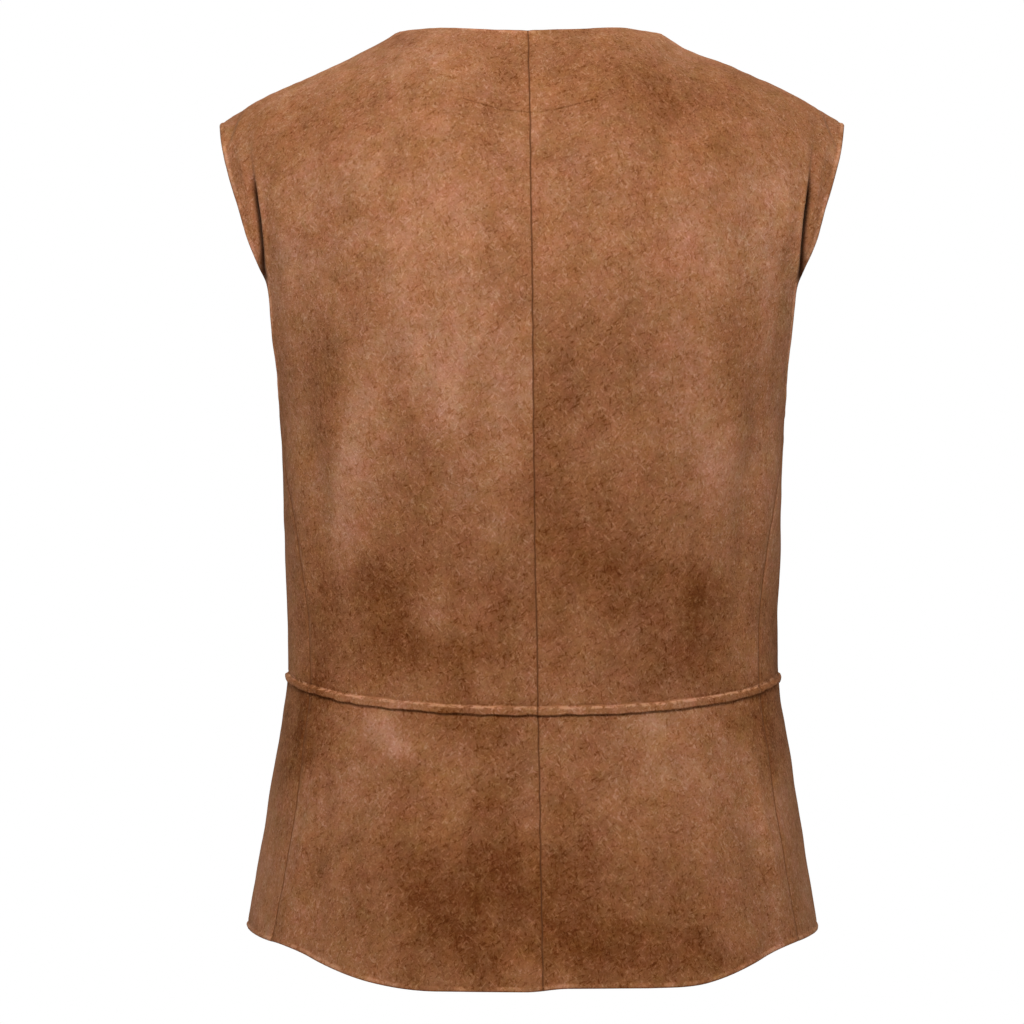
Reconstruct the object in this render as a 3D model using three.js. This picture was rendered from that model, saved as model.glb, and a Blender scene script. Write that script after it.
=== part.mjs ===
// A sleeveless renaissance vest of suede cloth, filled out as if worn: two backs and two fronts
// above a waist seam, and a flared skirt of four pieces below it.
// Millimetres. +Z is up, +X the wearer's left and -Y the wearer's front. The origin is level with
// the tops of the shoulder seams, midway between them, where the wearer's shoulders carry the vest.
import * as THREE from 'three';

// ---- Driving sizes ----
const CLOTH = 1.6; // thickness of the cloth wall
const SEAM_GAP = 0.3; // between two pieces that are sewn together
const NECK_HALF = 98; // half the neck width, at the tops of the shoulder seams
const SHOULDER = { x: 230, y: -5, z: -68 }; // outer end of the shoulder seam
const UNDERARM_Z = -285;
const BACK_NECK = { y: 56, z: -6 }; // centre back of the neckline
const FRONT_NECK_Y = -55; // the front surface carried up to neck height, above the V
const V_NECK_Z = -232; // foot of the V neckline
const WAIST = { side: -474, backDip: 23, frontDip: 18, power: 1.15 };
const HEM = { centre: -688.5, rise: 27, from: 18, to: 66 }; // it rises between these angles
const FRONT_OPENING = { waist: 0.6, hem: 7 }; // half the gap between the two fronts
const LAP = { height: 6.5, slope: 3, out: 2.1, tuck: 4.5 }; // the bodice's edge laps over the skirt

// The body's level sections, measured on the outside of the cloth. square is the superellipse power.
const SECTIONS = [
  { z: -285, halfWidth: 185.4, back: 115, front: 119, square: 2.3 },
  { z: -320, halfWidth: 183.6, back: 111, front: 118, square: 2.3 },
  { z: -380, halfWidth: 181.4, back: 103, front: 112, square: 2.25 },
  { z: -440, halfWidth: 179.6, back: 97, front: 106, square: 2.2 },
  { z: -475, halfWidth: 179.8, back: 96, front: 104, square: 2.2 },
  { z: -510, halfWidth: 184.5, back: 99, front: 107, square: 2.2 },
  { z: -560, halfWidth: 191.0, back: 108, front: 114, square: 2.2 },
  { z: -620, halfWidth: 200.4, back: 119, front: 124, square: 2.2 },
  { z: -690, halfWidth: 213.0, back: 131, front: 135, square: 2.2 },
];

// The side seam's angle round the section: 0 is the centre back, 90 the widest point.
const SIDE_SEAM = [
  { z: -285, angle: 86 },
  { z: -340, angle: 73.5 },
  { z: -400, angle: 66 },
  { z: -476, angle: 63 },
  { z: -560, angle: 62.5 },
  { z: -690, angle: 66 },
];

// The back hangs a little to one side: how far its centre seam has moved to the wearer's left.
const SWAY = [
  { z: 0, x: 3 },
  { z: -180, x: 0.5 },
  { z: -350, x: -1 },
  { z: -497, x: -4 },
  { z: -690, x: -7 },
];

// The yoke's level sections, from the underarm (rise 0) to the shoulder seam (rise 1): the place
// of the armhole's edge and the depth at the centre, both before the shoulder rounds over.
const YOKE = {
  back: [
    { rise: 0.0, edgeX: 185.3, edgeY: 11.3, centreY: 115.0 },
    { rise: 0.015, edgeX: 185.1, edgeY: 16.0, centreY: 115.4 },
    { rise: 0.05, edgeX: 184.8, edgeY: 25.0, centreY: 116.5 },
    { rise: 0.14, edgeX: 184.9, edgeY: 36.5, centreY: 119.0 },
    { rise: 0.25, edgeX: 186.3, edgeY: 43.5, centreY: 121.5 },
    { rise: 0.37, edgeX: 188.0, edgeY: 49.5, centreY: 124.0 },
    { rise: 0.44, edgeX: 191.2, edgeY: 51.5, centreY: 125.0 },
    { rise: 0.5, edgeX: 197.2, edgeY: 53.0, centreY: 125.4 },
    { rise: 0.59, edgeX: 205.8, edgeY: 54.5, centreY: 125.5 },
    { rise: 0.7, edgeX: 213.0, edgeY: 55.0, centreY: 125.0 },
    { rise: 0.8, edgeX: 219.8, edgeY: 54.0, centreY: 124.0 },
    { rise: 0.9, edgeX: 225.8, edgeY: 51.0, centreY: 122.0 },
    { rise: 1.0, edgeX: 230.0, edgeY: 46.0, centreY: 120.0 },
  ],
  front: [
    { rise: 0.0, edgeX: 185.3, edgeY: 11.3, centreY: -119.0 },
    { rise: 0.015, edgeX: 185.5, edgeY: 6.0, centreY: -119.3 },
    { rise: 0.05, edgeX: 185.6, edgeY: -5.0, centreY: -120.0 },
    { rise: 0.14, edgeX: 185.2, edgeY: -19.0, centreY: -122.0 },
    { rise: 0.25, edgeX: 184.4, edgeY: -31.0, centreY: -124.0 },
    { rise: 0.4, edgeX: 185.0, edgeY: -42.0, centreY: -125.0 },
    { rise: 0.56, edgeX: 191.7, edgeY: -50.0, centreY: -124.0 },
    { rise: 0.71, edgeX: 202.5, edgeY: -54.0, centreY: -121.0 },
    { rise: 0.86, edgeX: 216.0, edgeY: -51.0, centreY: -116.0 },
    { rise: 1.0, edgeX: 230.0, edgeY: -46.0, centreY: -110.0 },
  ],
};
const YOKE_SQUARE = 2.3; // the superellipse power of every yoke section
const YOKE_BEND = { centre: 2.2, shoulder: 2.6 }; // how late the yoke rounds over to its top
const YOKE_ROUND = { centre: 1.0, shoulder: 1.9 }; // 1 leans straight in, 2 is a quarter round
const UPRIGHT_ANGLE = { back: 68, front: 96 }; // of a panel's edge, where its columns are upright
const NECK_ACROSS = 0.3; // share of the panel's width that ends at the neckline
const EDGE_ACROSS = 0.8; // beyond it the columns stand close, for the folds at the armhole

// The shoulder line, from the neck (0) to its outer end (1): how far it has dropped.
const SHOULDER_LINE = [
  { along: 0.0, drop: 0 },
  { along: 0.11, drop: 8.6 },
  { along: 0.31, drop: 21.5 },
  { along: 0.5, drop: 32.5 },
  { along: 0.68, drop: 43.0 },
  { along: 0.83, drop: 54.0 },
  { along: 1.0, drop: 68.0 },
];

// The largest folds: troughs (out < 0) and ridges (out > 0) that run down from one place to
// another. across is the share of the panel's width from its centre line; bow is how far the
// fold's middle stands off its straight line, towards the centre; wide is its half width.
const FOLDS = [
  { on: 'back', across: 0.84, z: -98, toAcross: 1.01, toZ: -196, bow: 10, wide: 8, out: -7.5 },
  { on: 'back', across: 0.79, z: -110, toAcross: 0.92, toZ: -215, bow: 8, wide: 11, out: 2.5 },
  { on: 'back', across: 0.72, z: -215, toAcross: 0.83, toZ: -435, bow: 0, wide: 22, out: -4 },
  { on: 'back', across: 0.26, z: -190, toAcross: 0.3, toZ: -470, bow: 0, wide: 26, out: 2 },
  { on: 'front', across: 0.8, z: -105, toAcross: 0.93, toZ: -235, bow: 8, wide: 10, out: -5 },
  { on: 'front', across: 0.55, z: -240, toAcross: 0.68, toZ: -450, bow: 0, wide: 26, out: -3.5 },
  { on: 'back', across: 0.78, z: -515, toAcross: 0.8, toZ: -760, bow: 0, wide: 20, out: -3 },
  { on: 'back', across: 0.5, z: -515, toAcross: 0.52, toZ: -760, bow: 0, wide: 26, out: 2.5 },
  { on: 'front', across: 0.74, z: -510, toAcross: 0.77, toZ: -760, bow: 0, wide: 22, out: 3.5 },
  { on: 'front', across: 0.5, z: -515, toAcross: 0.52, toZ: -760, bow: 0, wide: 26, out: -4 },
];
const PANEL_WIDTH = 255; // typical half girth of a back or a front, which turns across into mm

// Columns and rows of the panels' grids. Below the underarm both faces share their rows.
const COLUMNS = {
  back: { neck: 6, shoulder: 7, armhole: 10 },
  front: { neck: 7, shoulder: 6, armhole: 6 },
};
const YOKE_ROWS = { back: 21, front: 14 };
const BODY_ROWS = 6;
const SKIRT_ROWS = 6;

// ---- Small helpers ----
const radians = THREE.MathUtils.degToRad;
const degrees = THREE.MathUtils.radToDeg;
const lerp = THREE.MathUtils.lerp;
const smooth = (low, high, x) => THREE.MathUtils.smoothstep(x, low, high);
const signedPower = (x, p) => Math.sign(x) * Math.abs(x) ** p;

// Reads a column of a table at any place along its first column, on a smooth curve.
function read(table, key, column, at) {
  const down = table[0][key] > table[table.length - 1][key] ? -1 : 1;
  const x = (row) => down * row[key];
  const target = Math.min(Math.max(down * at, x(table[0])), x(table[table.length - 1]));
  let i = 0;
  while (i < table.length - 2 && x(table[i + 1]) < target) i++;
  const slope = (j) => {
    const a = table[Math.max(j - 1, 0)];
    const b = table[Math.min(j + 1, table.length - 1)];
    return (b[column] - a[column]) / (x(b) - x(a));
  };
  const span = x(table[i + 1]) - x(table[i]);
  const s = (target - x(table[i])) / span;
  const [a, b] = [table[i][column], table[i + 1][column]];
  const [ma, mb] = [slope(i) * span, slope(i + 1) * span];
  return (
    a * (1 + 2 * s) * (1 - s) ** 2 + ma * s * (1 - s) ** 2 +
    b * s * s * (3 - 2 * s) - mb * s * s * (1 - s)
  );
}

// ---- The body below the underarm ----
// A place on a level superellipse: angle runs from its centre (0) to its widest point (90).
function ellipsePoint(angle, halfWidth, depth, square) {
  const across = signedPower(Math.sin(radians(angle)), 2 / square);
  const along = signedPower(Math.cos(radians(angle)), 2 / square);
  return [halfWidth * across, depth * along];
}

// angle runs from the centre back (0) round the widest point (90) to the centre front (180).
function bodyPoint(angle, z) {
  const depth = read(SECTIONS, 'z', angle < 90 ? 'back' : 'front', z);
  const halfWidth = read(SECTIONS, 'z', 'halfWidth', z);
  const [x, y] = ellipsePoint(angle, halfWidth, depth, read(SECTIONS, 'z', 'square', z));
  return new THREE.Vector3(x, y, z);
}

const sideAngle = (z) => read(SIDE_SEAM, 'z', 'angle', z);

// A column's angle from the face's centre line. The panel's edge leans, and the columns lean
// with it the more the nearer they are.
function columnAngle(face, across, edgeAngle) {
  const upright = UPRIGHT_ANGLE[face];
  return upright * across + (edgeAngle - upright) * across ** 2.5;
}

function panelAngle(face, across, z) {
  if (face === 'back') return columnAngle(face, across, sideAngle(z));
  return 180 - columnAngle(face, across, 180 - sideAngle(z));
}

function waistZ(angle) {
  const along = Math.cos(radians(angle));
  const dip = along > 0 ? WAIST.backDip : WAIST.frontDip;
  return WAIST.side - dip * Math.abs(along) ** WAIST.power;
}

function hemZ(angle) {
  const fromCentre = Math.min(angle, 180 - angle);
  return HEM.centre + HEM.rise * smooth(HEM.from, HEM.to, fromCentre);
}

// ---- The yoke, between the underarm and the shoulder seam ----
// The top of the yoke: the neck's height across the neck, and then the shoulder line.
function yokeTop(face, across) {
  if (across < NECK_ACROSS) {
    const share = across / NECK_ACROSS;
    const centre = face === 'back' ? BACK_NECK.y : FRONT_NECK_Y;
    const y = lerp(centre, SHOULDER.y, share ** 2.2);
    const z = face === 'back' ? lerp(BACK_NECK.z, 0, smooth(0, 1, share)) : 0;
    return new THREE.Vector3(NECK_HALF * share, y, z);
  }
  const along = (across - NECK_ACROSS) / (1 - NECK_ACROSS);
  const x = lerp(NECK_HALF, SHOULDER.x, along);
  return new THREE.Vector3(x, SHOULDER.y, -read(SHOULDER_LINE, 'along', 'drop', along));
}

// The level superellipse through the yoke's centre line that ends at the armhole's edge.
function yokeSection(face, rise) {
  const edgeX = read(YOKE[face], 'rise', 'edgeX', rise);
  const edgeY = read(YOKE[face], 'rise', 'edgeY', rise);
  const depth = read(YOKE[face], 'rise', 'centreY', rise);
  const edgeAngle = degrees(Math.acos(signedPower(edgeY / depth, YOKE_SQUARE / 2)));
  const halfWidth = edgeX / Math.sin(radians(edgeAngle)) ** (2 / YOKE_SQUARE);
  return { edgeAngle, halfWidth, depth };
}

function yokePoint(face, across, rise) {
  const { edgeAngle, halfWidth, depth } = yokeSection(face, rise);
  const angle = columnAngle(face, across, edgeAngle);
  const [x, y] = ellipsePoint(angle, halfWidth, depth, YOKE_SQUARE);
  const top = yokeTop(face, across);
  const overShoulder = smooth(0, NECK_ACROSS, across);
  const bend = lerp(YOKE_BEND.centre, YOKE_BEND.shoulder, overShoulder);
  const round = lerp(YOKE_ROUND.centre, YOKE_ROUND.shoulder, overShoulder);
  const upright = (1 - rise ** bend) ** (1 / round);
  const atTop = yokeSection(face, 1);
  const topAngle = columnAngle(face, across, atTop.edgeAngle);
  const [topX] = ellipsePoint(topAngle, atTop.halfWidth, 1, YOKE_SQUARE);
  const spread = top.x - topX;
  const z = lerp(UNDERARM_Z, top.z, rise);
  return new THREE.Vector3(x + spread * rise ** 3, lerp(top.y, y, upright), z);
}

// How far up the yoke a column of the front reaches, up to the V neckline.
function frontReach(across) {
  if (across >= NECK_ACROSS) return 1;
  const z = V_NECK_Z * (1 - (across / NECK_ACROSS) ** 1.12);
  return (z - UNDERARM_Z) / (0 - UNDERARM_Z);
}

// ---- Folds and sway ----
function foldOut(face, across, z) {
  let out = 0;
  for (const fold of FOLDS) {
    const run = { x: (fold.toAcross - fold.across) * PANEL_WIDTH, z: fold.toZ - fold.z };
    const here = { x: (across - fold.across) * PANEL_WIDTH, z: z - fold.z };
    const length = Math.hypot(run.x, run.z);
    const along = (here.x * run.x + here.z * run.z) / length ** 2;
    if (fold.on !== face || along <= 0 || along >= 1) continue;
    const swell = Math.sin(Math.PI * along);
    const aside = (here.z * run.x - here.x * run.z) / length + fold.bow * swell;
    out += fold.out * swell * Math.exp(-((aside / fold.wide) ** 2));
  }
  return out * smooth(0, 0.05, across) * smooth(0, 0.05, 1 - across);
}

// How far a point of the vest moves to the wearer's left: most at the centre back.
function sway(point) {
  const middle = 1 - (point.x / SHOULDER.x) ** 2;
  return read(SWAY, 'z', 'x', point.z) * Math.max(0, middle) * smooth(-60, 60, point.y);
}

// ---- Panels ----
// Each panel is a function of (across, up), both 0 to 1, that gives a place on the cloth's face
// and the height above it that the bodice's lapped edge stands out.
const facePoint = {
  skirt: (face, across, up) => {
    const angleAt = (z) => panelAngle(face, across, z);
    const top = waistZ(angleAt(WAIST.side)) + LAP.tuck;
    const z = lerp(hemZ(angleAt(HEM.centre)), top, up);
    return bodyPoint(angleAt(z), z);
  },
  body: (face, across, up) => {
    const z = lerp(waistZ(panelAngle(face, across, WAIST.side)), UNDERARM_Z, up);
    return bodyPoint(panelAngle(face, across, z), z);
  },
  yoke: (face, across, up) => {
    const reach = face === 'front' ? frontReach(across) : 1;
    return yokePoint(face, across, up * reach);
  },
};

// The outward normal of a zone's surface, from its two tangents.
function outward(zone, face, across, up) {
  const step = 1e-3;
  const [a0, a1] = [Math.max(across - step, 0), Math.min(across + step, 1)];
  const [u0, u1] = [Math.max(up - step, 0), Math.min(up + step, 1)];
  const along = facePoint[zone](face, a1, up).sub(facePoint[zone](face, a0, up));
  const rising = facePoint[zone](face, across, u1).sub(facePoint[zone](face, across, u0));
  const normal = along.cross(rising).normalize();
  return face === 'back' ? normal.negate() : normal;
}

// The body's own tangent round the section and its outward normal, which both faces share.
function bodyFrame(angle, z) {
  const round = bodyPoint(angle + 0.1, z).sub(bodyPoint(angle - 0.1, z)).normalize();
  const rising = bodyPoint(angle, z + 0.1).sub(bodyPoint(angle, z - 0.1));
  return { round, normal: rising.cross(round).normalize() };
}

// One grid point of a panel: its place on the outside of the cloth and on the inside. At a seam
// the panel's cut face keeps half the seam gap from the plane that it shares with its neighbour.
function clothPoint({ zone, up, lap }, face, across) {
  const away = face === 'back' ? 1 : -1;
  const point = facePoint[zone](face, across, up);
  let normal = outward(zone, face, across, up);
  if (across === 0) {
    normal.setX(0).normalize();
    point.x = face === 'back' ? SEAM_GAP / 2 : frontOpening(point.z);
  } else if (across === 1 && zone !== 'yoke') {
    const frame = bodyFrame(panelAngle(face, 1, point.z), point.z);
    normal = frame.normal;
    point.addScaledVector(frame.round, -away * SEAM_GAP / 2);
  } else if (zone === 'yoke' && up === 1 && across >= NECK_ACROSS) {
    normal.setY(0).normalize();
    point.y = SHOULDER.y + away * SEAM_GAP / 2;
  }
  const outer = point.clone().addScaledVector(normal, foldOut(face, across, point.z) + lap);
  const inner = outer.clone().addScaledVector(normal, -CLOTH);
  return { outer, inner };
}

// Half the gap between the fronts, which hang a little apart towards the hem.
function frontOpening(z) {
  return lerp(FRONT_OPENING.waist, FRONT_OPENING.hem, smooth(-WAIST.side, -HEM.centre, -z));
}

// The panel's columns: one stands at the neck's corner, and they close up towards that corner
// and near the armhole.
function columnsAcross({ neck, shoulder, armhole }) {
  const spaced = (from, to, count, ease) => {
    return Array.from({ length: count }, (_, i) => lerp(to, from, (1 - i / count) ** ease));
  };
  return [
    ...spaced(0, NECK_ACROSS, neck, 1.5),
    ...spaced(NECK_ACROSS, EDGE_ACROSS, shoulder, 1),
    ...spaced(EDGE_ACROSS, 1, armhole, 1),
    1,
  ];
}

function skirtRows() {
  const height = WAIST.side + LAP.tuck - HEM.centre;
  const underLap = 1 - (LAP.tuck + 1) / height;
  const rows = [{ zone: 'skirt', up: 1, lap: 0 }];
  for (let i = 0; i <= SKIRT_ROWS; i++) {
    rows.unshift({ zone: 'skirt', up: underLap * (1 - i / SKIRT_ROWS), lap: 0 });
  }
  return rows;
}

// The bodice's rows: the lapped edge, the body up to the underarm, then the yoke, whose rows
// stand closest at the underarm and over the shoulder.
function bodiceRows(face) {
  const bodyHeight = UNDERARM_Z - WAIST.side;
  const flat = (LAP.height + LAP.slope) / bodyHeight;
  const rows = [
    { zone: 'body', up: 0, lap: LAP.out },
    { zone: 'body', up: LAP.height / bodyHeight, lap: LAP.out },
  ];
  for (let i = 0; i <= BODY_ROWS; i++) {
    rows.push({ zone: 'body', up: lerp(flat, 1, i / BODY_ROWS), lap: 0 });
  }
  for (let i = 1; i <= YOKE_ROWS[face]; i++) {
    rows.push({ zone: 'yoke', up: (1 - Math.cos((Math.PI * i) / YOKE_ROWS[face])) / 2, lap: 0 });
  }
  return rows;
}

// Closes a grid of outer and inner points into one solid wall, on one side of the body.
function wall(grid, mirror) {
  const [rows, columns] = [grid.length, grid[0].length];
  const positions = [];
  for (const side of ['outer', 'inner']) {
    for (const row of grid) {
      for (const { [side]: point } of row) {
        positions.push(mirror * point.x + sway(point), point.y, point.z);
      }
    }
  }
  const at = (side, r, c) => side * rows * columns + r * columns + c;
  const index = [];
  const quad = (a, b, c, d) => index.push(a, b, c, a, c, d);
  for (let r = 0; r < rows - 1; r++) {
    for (let c = 0; c < columns - 1; c++) {
      quad(at(0, r, c), at(0, r + 1, c), at(0, r + 1, c + 1), at(0, r, c + 1));
      quad(at(1, r, c), at(1, r, c + 1), at(1, r + 1, c + 1), at(1, r + 1, c));
    }
    quad(at(0, r, 0), at(1, r, 0), at(1, r + 1, 0), at(0, r + 1, 0));
    const last = columns - 1;
    quad(at(0, r, last), at(0, r + 1, last), at(1, r + 1, last), at(1, r, last));
  }
  for (let c = 0; c < columns - 1; c++) {
    quad(at(0, 0, c), at(0, 0, c + 1), at(1, 0, c + 1), at(1, 0, c));
    const top = rows - 1;
    quad(at(0, top, c), at(1, top, c), at(1, top, c + 1), at(0, top, c + 1));
  }
  const geometry = new THREE.BufferGeometry();
  geometry.setAttribute('position', new THREE.Float32BufferAttribute(positions, 3));
  geometry.setIndex(index);
  return geometry;
}

// Turns a mesh's faces round.
function turned(geometry) {
  const index = geometry.getIndex().array;
  for (let i = 0; i < index.length; i += 3) [index[i + 1], index[i + 2]] = [index[i + 2], index[i + 1]];
  return geometry;
}

function panelGeometry(face, part, mirror) {
  const rows = part === 'skirt' ? skirtRows() : bodiceRows(face);
  const columns = columnsAcross(COLUMNS[face]);
  const grid = rows.map((row) => columns.map((across) => clothPoint(row, face, across)));
  const geometry = wall(grid, mirror);
  const facesOut = (face === 'back') === (mirror > 0);
  return facesOut ? geometry : turned(geometry);
}

// ---- The vest ----
const suede = new THREE.MeshStandardMaterial({ color: 0x9b6a46, roughness: 0.95, metalness: 0 });

const vest = new THREE.Group();
vest.name = 'renaissance_vest';
for (const face of ['back', 'front']) {
  for (const part of ['bodice', 'skirt']) {
    for (const [side, mirror] of [['left', 1], ['right', -1]]) {
      const panel = new THREE.Mesh(panelGeometry(face, part, mirror), suede.clone());
      panel.name = `${face}_${part}_${side}`;
      vest.add(panel);
    }
  }
}

export default vest;
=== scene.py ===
import math

import bpy
import numpy as np
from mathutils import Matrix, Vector


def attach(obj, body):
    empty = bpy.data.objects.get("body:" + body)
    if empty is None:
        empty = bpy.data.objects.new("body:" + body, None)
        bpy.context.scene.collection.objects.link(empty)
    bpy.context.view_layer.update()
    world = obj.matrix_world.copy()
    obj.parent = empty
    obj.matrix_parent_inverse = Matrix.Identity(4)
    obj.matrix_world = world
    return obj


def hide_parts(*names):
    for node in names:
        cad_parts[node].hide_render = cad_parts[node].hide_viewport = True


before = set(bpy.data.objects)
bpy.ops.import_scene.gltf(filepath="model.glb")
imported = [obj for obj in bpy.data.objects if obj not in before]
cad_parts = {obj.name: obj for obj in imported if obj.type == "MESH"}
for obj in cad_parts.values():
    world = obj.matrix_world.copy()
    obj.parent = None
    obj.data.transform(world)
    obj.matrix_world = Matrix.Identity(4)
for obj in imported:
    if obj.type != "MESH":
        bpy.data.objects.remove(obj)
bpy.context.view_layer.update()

# A brushed suede vest in eight cut-and-sewn pieces. Its solids' sizes and surfaces are worked out
# again here in millimetres, with finer folds, edges and sewing; scenes are in metres.
MM = 0.001


def table(columns, *rows):
    """Named columns of numbers, a row per section or fold."""
    return {name: np.array(values, float) for name, values in zip(columns.split(), zip(*rows))}


# ---- Sizes of the vest in millimetres, the same as its solids have ----
CLOTH = 1.6
NECK_HALF = 98
SHOULDER_X, SHOULDER_Y = 230, -5
UNDERARM_Z = -285
BACK_NECK_Y, BACK_NECK_Z = 56, -6
FRONT_NECK_Y = -55
V_NECK_Z = -232
WAIST_SIDE, WAIST_BACK_DIP, WAIST_FRONT_DIP, WAIST_POWER = -474, 23, 18, 1.15
HEM_CENTRE, HEM_RISE, HEM_FROM, HEM_TO = -688.5, 27, 18, 66
OPEN_AT_WAIST, OPEN_AT_HEM = 0.6, 7
LAP_HEIGHT, LAP_OUT, LAP_TUCK = 5.9, 1.9, 4.5
SEWN_ROUND = 0.5

SECTIONS = table(
    "z half_width back front square",
    (-285, 185.4, 115, 119, 2.3),
    (-320, 183.6, 111, 118, 2.3),
    (-380, 181.4, 103, 112, 2.25),
    (-440, 179.6, 97, 106, 2.2),
    (-475, 179.8, 96, 104, 2.2),
    (-510, 184.5, 99, 107, 2.2),
    (-560, 191.0, 108, 114, 2.2),
    (-620, 200.4, 119, 124, 2.2),
    (-690, 213.0, 131, 135, 2.2),
)
SIDE_SEAM = table(
    "z angle", (-285, 86), (-340, 73.5), (-400, 66), (-476, 63), (-560, 62.5), (-690, 66)
)
SWAY = table("z x", (0, 3), (-180, 0.5), (-350, -1), (-497, -4), (-690, -7))
YOKE = {
    "back": table(
        "rise edge_x edge_y centre_y",
        (0.0, 185.3, 11.3, 115.0),
        (0.015, 185.1, 16.0, 115.4),
        (0.05, 184.8, 25.0, 116.5),
        (0.14, 184.9, 36.5, 119.0),
        (0.25, 186.3, 43.5, 121.5),
        (0.37, 188.0, 49.5, 124.0),
        (0.44, 191.2, 51.5, 125.0),
        (0.5, 197.2, 53.0, 125.4),
        (0.59, 205.8, 54.5, 125.5),
        (0.7, 213.0, 55.0, 125.0),
        (0.8, 219.8, 54.0, 124.0),
        (0.9, 225.8, 51.0, 122.0),
        (1.0, 230.0, 46.0, 120.0),
    ),
    "front": table(
        "rise edge_x edge_y centre_y",
        (0.0, 185.3, 11.3, -119.0),
        (0.015, 185.5, 6.0, -119.3),
        (0.05, 185.6, -5.0, -120.0),
        (0.14, 185.2, -19.0, -122.0),
        (0.25, 184.4, -31.0, -124.0),
        (0.4, 185.0, -42.0, -125.0),
        (0.56, 191.7, -50.0, -124.0),
        (0.71, 202.5, -54.0, -121.0),
        (0.86, 216.0, -51.0, -116.0),
        (1.0, 230.0, -46.0, -110.0),
    ),
}
YOKE_SQUARE = 2.3
BEND_CENTRE, BEND_SHOULDER = 2.2, 2.6
ROUND_CENTRE, ROUND_SHOULDER = 1.0, 1.9
UPRIGHT_ANGLE = {"back": 68, "front": 96}
NECK_ACROSS = 0.3
SHOULDER_LINE = table(
    "along drop",
    (0.0, 0), (0.11, 8.6), (0.31, 21.5), (0.5, 32.5), (0.68, 43.0), (0.83, 54.0), (1.0, 68.0),
)
PANEL_WIDTH = 255

# ---- Folds, a row each: a trough (out < 0) or a ridge (out > 0) along a bowed line ----
FOLD_COLUMNS = "across z to_across to_z bow wide out"
FOLDS = {
    "back": table(
        FOLD_COLUMNS,
        (0.79, -110, 0.92, -215, 8, 11, 1.5),
        (0.72, -215, 0.83, -435, 0, 22, -4.0),
        (0.26, -190, 0.30, -470, 0, 26, 2.0),
        (0.78, -515, 0.80, -760, 0, 20, -3.0),
        (0.50, -515, 0.52, -760, 0, 26, 2.5),
        (0.88, -60, 0.90, -130, 0, 5, -1.0),
        (0.93, -70, 0.93, -150, 0, 4, 0.8),
        (0.62, -70, 0.68, -190, 0, 14, -1.2),
        (0.46, -60, 0.50, -170, 0, 16, 1.0),
        (0.70, -430, 0.62, -500, 0, 9, -1.0),
        (0.86, -505, 0.93, -640, 4, 9, 1.6),
        (0.30, -510, 0.28, -600, 0, 13, -1.0),
    ),
    "front": table(
        FOLD_COLUMNS,
        (0.80, -105, 0.93, -235, 8, 10, -5.0),
        (0.55, -240, 0.68, -450, 0, 26, -3.5),
        (0.74, -510, 0.77, -760, 0, 22, 3.5),
        (0.50, -515, 0.52, -760, 0, 26, -4.0),
        (0.88, -70, 0.90, -140, 0, 6, -1.2),
        (0.62, -60, 0.60, -170, 0, 16, 1.2),
        (0.30, -250, 0.34, -420, 0, 20, 1.5),
        (0.28, -515, 0.26, -620, 0, 15, -1.4),
    ),
}
# Creases beside the armhole, each along its own line: the cloth outside it drops away at
# once, towards the other face, by deep, and comes back over near and far millimetres.
CREASES = {
    "back": [
        table(
            "z across deep",
            (-80, 0.880, 0.0),
            (-92, 0.881, 0.3),
            (-103, 0.882, 1.4),
            (-112, 0.884, 6.0),
            (-128, 0.888, 12.5),
            (-143, 0.893, 13.5),
            (-157, 0.912, 12.5),
            (-171, 0.945, 10.0),
            (-184, 0.980, 6.0),
            (-196, 1.015, 2.0),
            (-212, 1.060, 0.0),
        ),
        table(
            "z across deep",
            (-45, 0.872, 0.0),
            (-54, 0.888, 3.0),
            (-66, 0.921, 4.5),
            (-76, 0.943, 3.8),
            (-89, 0.980, 1.6),
            (-104, 1.030, 0.0),
        ),
    ],
    "front": [
        table(
            "z across deep",
            (-88, 0.860, 0.0),
            (-110, 0.872, 3.0),
            (-140, 0.895, 6.0),
            (-165, 0.930, 5.5),
            (-190, 0.985, 3.0),
            (-212, 1.050, 0.0),
        ),
    ],
}
CREASE_WIDTHS = {  # (steep, near, far) of each: half its step's width, and how the cloth comes back
    "back": [(0.9, 3.2, 15.0), (1.6, 4.5, 11.0)],
    "front": [(2.2, 6.0, 16.0)],
}
CREASE_NEAR_SHARE = 0.45
CREASE_LIFT, LIFT_ASIDE, LIFT_WIDE = 0.10, -2.5, 3.5  # the cloth rises a little before it drops
SPREAD_FROM, SPREAD_TO, FOOT_SPREAD = -160, -195, 3.5  # towards its foot a crease is less steep
# The painted shadow deep in a crease: it begins where the crease is SLIT_FROM_DEEP deep, grows to
# full over SLIT_FULL_AFTER more, and is darker and wider towards the crease's foot.
SLIT_FROM_DEEP, SLIT_FULL_AFTER, SLIT_WIDE = 3, 8, 1.4
FOOT_FROM, FOOT_TO, FOOT_DARKER, FOOT_WIDER = -163, -182, 0.6, 2.2


# ---- The vest's surface ----
def lerp(a, b, t):
    return a + (b - a) * t


def smooth(low, high, x):
    t = np.clip((x - low) / (high - low), 0, 1)
    return t * t * (3 - 2 * t)


def bump(distance, centre, width):
    return np.exp(-(((distance - centre) / width) ** 2))


def signed_power(x, p):
    return np.sign(x) * np.abs(x) ** p


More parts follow.
